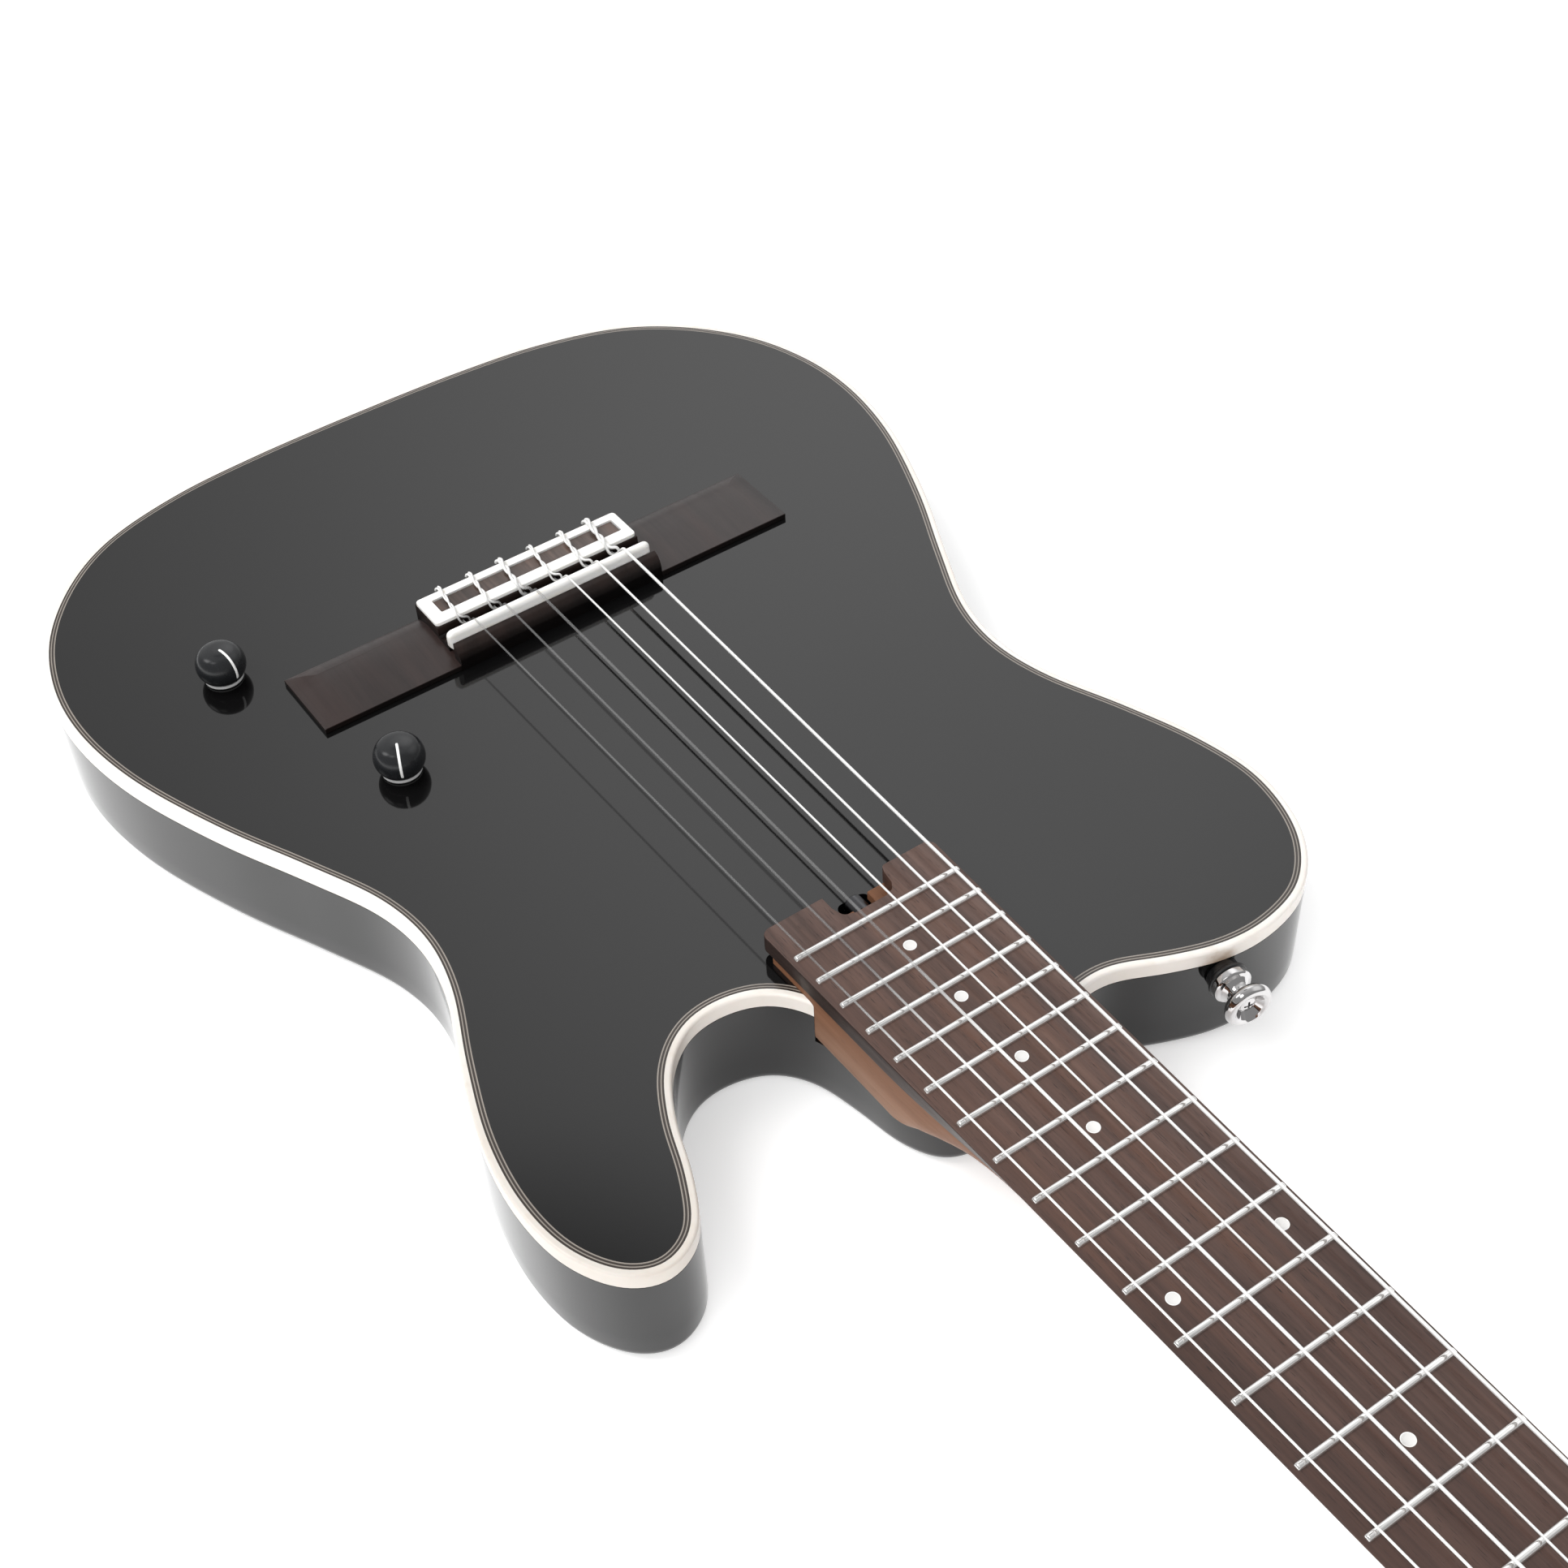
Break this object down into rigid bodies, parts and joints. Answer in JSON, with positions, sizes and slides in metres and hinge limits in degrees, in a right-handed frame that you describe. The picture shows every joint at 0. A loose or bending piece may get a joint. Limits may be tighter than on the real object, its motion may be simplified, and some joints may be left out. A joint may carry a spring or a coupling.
{
  "type": "silent guitar",
  "caption": "Nylon-string electric-classical guitar with a thin single-cutaway chambered body, bound black top, tie-block bridge, bolt-on neck and geared tuners.",
  "frame": {"origin": "on the flat back, on the centreline, directly under the theoretical string end at the saddle (one scale length from the nut)", "axes": "+X along the strings towards the headstock, +Y towards the bass strings, +Z out of the top; the instrument lies on its back"},
  "size_m": [1.0024, 0.324, 0.0565],
  "materials": {
    "lacquered_core": "black gloss lacquer over mahogany",
    "lacquered_top": "black gloss lacquer, polished",
    "cream_binding": "clear-coated ivory binding",
    "purfling_strip": "thin dark and light lines",
    "rosewood": "open-pored, oiled",
    "mahogany": "satin lacquer",
    "bone": "polished bone",
    "fret_wire": "polished nickel silver",
    "steel": "plain steel",
    "pickup_strip": "braided foil",
    "nylon": "clear nylon",
    "wound_silver": "fine silver-plated winding",
    "chrome": "polished",
    "knob_black": "moulded, with a white pointer",
    "black_plastic": "fine moulded texture",
    "circuit": "printed board",
    "battery_shell": "satin",
    "rubber": "moulded black rubber"
  },
  "bodies": {
    "guitar": {"body_core": "lacquered_core", "body_top": "lacquered_top", "body_binding": "cream_binding", "purfling": "purfling_strip", "neck": "mahogany", "fretboard": "rosewood", "frets": "fret_wire", "nut": "bone", "headstock_veneer": "rosewood", "truss_rod": "steel", "bridge": "rosewood", "saddle": "bone", "tie_block_inlay": "bone", "piezo_pickup": "pickup_strip", "string_1": "nylon", "string_2": "nylon", "string_3": "nylon", "string_4": "wound_silver", "string_5": "wound_silver", "string_6": "wound_silver", "tuner_plate_1": "chrome", "tuner_plate_2": "chrome", "tuner_plate_3": "chrome", "tuner_plate_4": "chrome", "tuner_plate_5": "chrome", "tuner_plate_6": "chrome", "neck_plate": "chrome", "neck_bolt_1": "chrome", "neck_bolt_2": "chrome", "neck_bolt_3": "chrome", "neck_bolt_4": "chrome", "volume_pot": "steel", "tone_pot": "steel", "preamp_board": "circuit", "control_cover": "black_plastic", "battery_box": "black_plastic", "battery": "battery_shell", "output_jack": "chrome", "strap_button_upper": "chrome", "strap_washer_upper": "rubber", "strap_screw_upper": "chrome", "strap_button_tail": "chrome", "strap_washer_tail": "rubber", "strap_screw_tail": "chrome"},
    "volume_control": {"volume_knob": "knob_black"},
    "tone_control": {"tone_knob": "knob_black"},
    "battery_lid": {"battery_door": "black_plastic"},
    "truss_adjuster": {"truss_nut": "steel"},
    "key_1": {"tuner_key_1": "chrome"},
    "post_1": {"tuner_post_1": "chrome"},
    "key_2": {"tuner_key_2": "chrome"},
    "post_2": {"tuner_post_2": "chrome"},
    "key_3": {"tuner_key_3": "chrome"},
    "post_3": {"tuner_post_3": "chrome"},
    "key_4": {"tuner_key_4": "chrome"},
    "post_4": {"tuner_post_4": "chrome"},
    "key_5": {"tuner_key_5": "chrome"},
    "post_5": {"tuner_post_5": "chrome"},
    "key_6": {"tuner_key_6": "chrome"},
    "post_6": {"tuner_post_6": "chrome"}
  },
  "joints": [
    {"name": "volume_turn", "type": "hinge", "parent": "guitar", "child": "volume_control", "pos_m": [0.0314, -0.0813, 0.042], "axis": [0, 0, 1], "range_deg": [-150, 150]},
    {"name": "tone_turn", "type": "hinge", "parent": "guitar", "child": "tone_control", "pos_m": [-0.0464, -0.1084, 0.042], "axis": [0, 0, 1], "range_deg": [-150, 150]},
    {"name": "battery_door_swing", "type": "hinge", "parent": "guitar", "child": "battery_lid", "pos_m": [-0.1086, 0.056, 0.0022], "axis": [0, 1, 0], "range_deg": [0, 90]},
    {"name": "truss_rod_turn", "type": "hinge", "parent": "guitar", "child": "truss_adjuster", "pos_m": [0.1727, 0.0016, 0.0414], "axis": [1, 0, 0], "range_deg": [-180, 180]},
    {"name": "key_turn_1", "type": "hinge", "parent": "guitar", "child": "key_1", "pos_m": [0.70094, -0.024, 0.02035], "axis": [0, 1, 0], "continuous": true},
    {"name": "post_turn_1", "type": "hinge", "parent": "guitar", "child": "post_1", "pos_m": [0.695, -0.024, 0.0432], "axis": [0.1045, 0, 0.9945], "continuous": true},
    {"name": "key_turn_2", "type": "hinge", "parent": "guitar", "child": "key_2", "pos_m": [0.74094, -0.024, 0.01615], "axis": [0, 1, 0], "continuous": true},
    {"name": "post_turn_2", "type": "hinge", "parent": "guitar", "child": "post_2", "pos_m": [0.735, -0.024, 0.039], "axis": [0.1045, 0, 0.9945], "continuous": true},
    {"name": "key_turn_3", "type": "hinge", "parent": "guitar", "child": "key_3", "pos_m": [0.78094, -0.024, 0.01195], "axis": [0, 1, 0], "continuous": true},
    {"name": "post_turn_3", "type": "hinge", "parent": "guitar", "child": "post_3", "pos_m": [0.775, -0.024, 0.03479], "axis": [0.1045, 0, 0.9945], "continuous": true},
    {"name": "key_turn_4", "type": "hinge", "parent": "guitar", "child": "key_4", "pos_m": [0.78094, 0.024, 0.01195], "axis": [0, 1, 0], "continuous": true},
    {"name": "post_turn_4", "type": "hinge", "parent": "guitar", "child": "post_4", "pos_m": [0.775, 0.024, 0.03479], "axis": [0.1045, 0, 0.9945], "continuous": true},
    {"name": "key_turn_5", "type": "hinge", "parent": "guitar", "child": "key_5", "pos_m": [0.74094, 0.024, 0.01615], "axis": [0, 1, 0], "continuous": true},
    {"name": "post_turn_5", "type": "hinge", "parent": "guitar", "child": "post_5", "pos_m": [0.735, 0.024, 0.039], "axis": [0.1045, 0, 0.9945], "continuous": true},
    {"name": "key_turn_6", "type": "hinge", "parent": "guitar", "child": "key_6", "pos_m": [0.70094, 0.024, 0.02035], "axis": [0, 1, 0], "continuous": true},
    {"name": "post_turn_6", "type": "hinge", "parent": "guitar", "child": "post_6", "pos_m": [0.695, 0.024, 0.0432], "axis": [0.1045, 0, 0.9945], "continuous": true}
  ],
  "couplings": [
    {"joint": "post_turn_1", "follows": "key_turn_1", "ratio": -0.071429},
    {"joint": "post_turn_2", "follows": "key_turn_2", "ratio": -0.071429},
    {"joint": "post_turn_3", "follows": "key_turn_3", "ratio": -0.071429},
    {"joint": "post_turn_4", "follows": "key_turn_4", "ratio": -0.071429},
    {"joint": "post_turn_5", "follows": "key_turn_5", "ratio": -0.071429},
    {"joint": "post_turn_6", "follows": "key_turn_6", "ratio": -0.071429}
  ]
}
